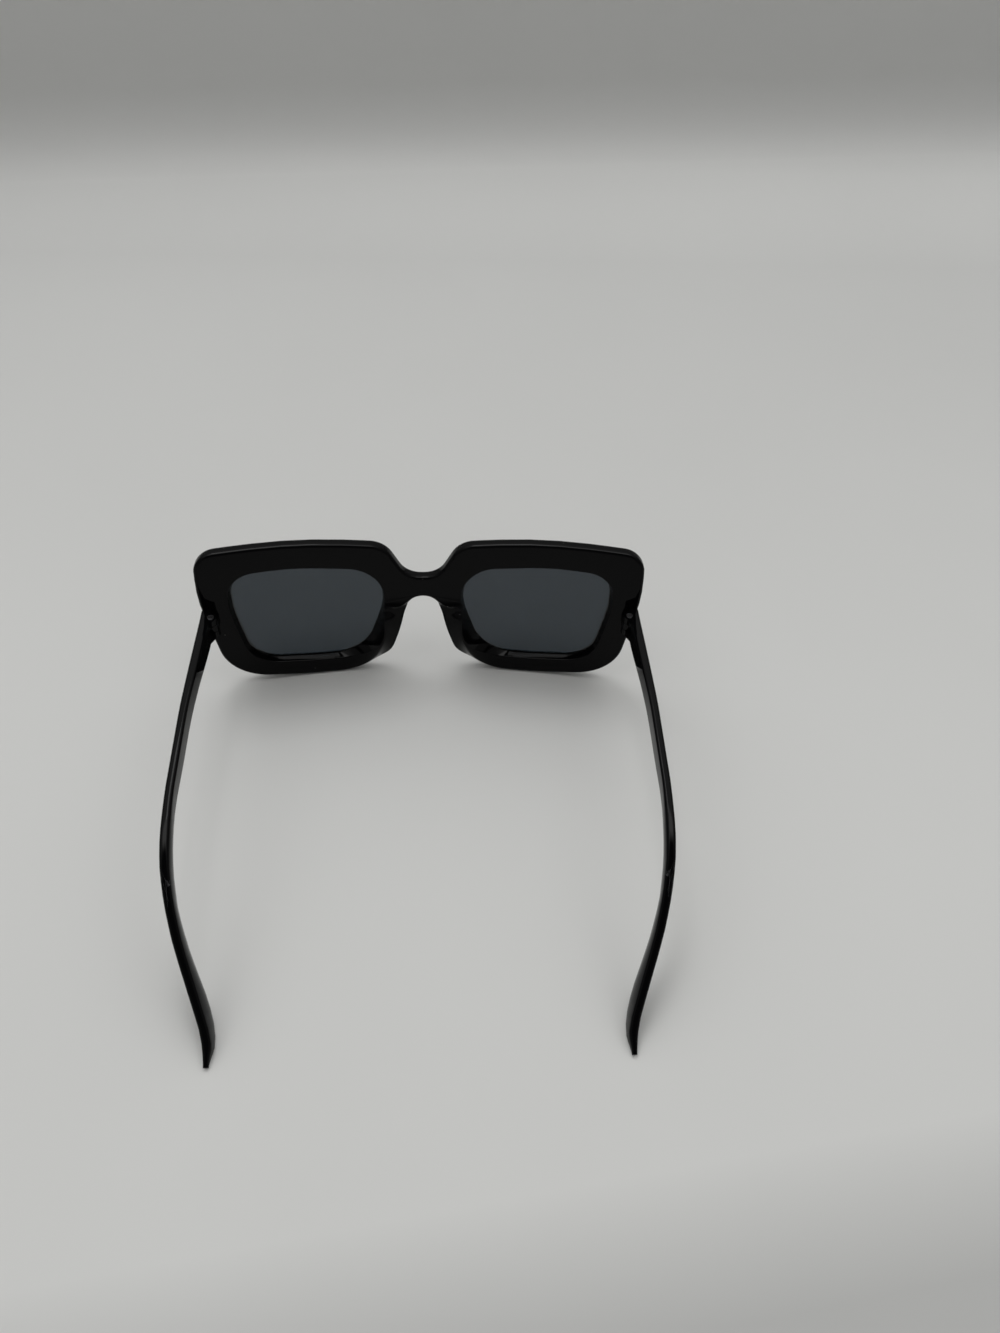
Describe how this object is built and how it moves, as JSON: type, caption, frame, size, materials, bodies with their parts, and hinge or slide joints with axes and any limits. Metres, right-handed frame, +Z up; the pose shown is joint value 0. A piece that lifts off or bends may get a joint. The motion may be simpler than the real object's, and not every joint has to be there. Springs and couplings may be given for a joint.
{
  "type": "oversized square sunglasses",
  "caption": "Oversized square sunglasses with a thick glossy black plastic frame, dark lenses, moulded nose pads and temples that fold on slotted hinge screws",
  "frame": {"origin": "the middle of the footprint on the floor that the open glasses stand on, which is the centre of the bottom of the bounding box", "axes": "+X to the wearer's right, +Y the way the wearer looks (from the temple tips to the front), +Z up; at rest the glasses are open and stand on both rims and both temple tips"},
  "size_m": [0.1518, 0.1538, 0.0601],
  "materials": {
    "black_plastic": "glossy injection-moulded black plastic with fine wear",
    "smoke_lens": "dark smoke-grey transparent plastic, polished",
    "screw_steel": "plain bright steel, slotted head"
  },
  "bodies": {
    "front": {"frame_front": "black_plastic", "lens_left": "smoke_lens", "lens_right": "smoke_lens"},
    "left_arm": {"temple_left": "black_plastic", "hinge_screw_left": "screw_steel"},
    "right_arm": {"temple_right": "black_plastic", "hinge_screw_right": "screw_steel"}
  },
  "joints": [
    {"name": "left_hinge", "type": "hinge", "parent": "front", "child": "left_arm", "pos_m": [-0.071, 0.05879, 0.0336], "axis": [0, 0, 1], "range_deg": [0, 84]},
    {"name": "right_hinge", "type": "hinge", "parent": "front", "child": "right_arm", "pos_m": [0.071, 0.05879, 0.0336], "axis": [0, 0, -1], "range_deg": [0, 77]}
  ]
}
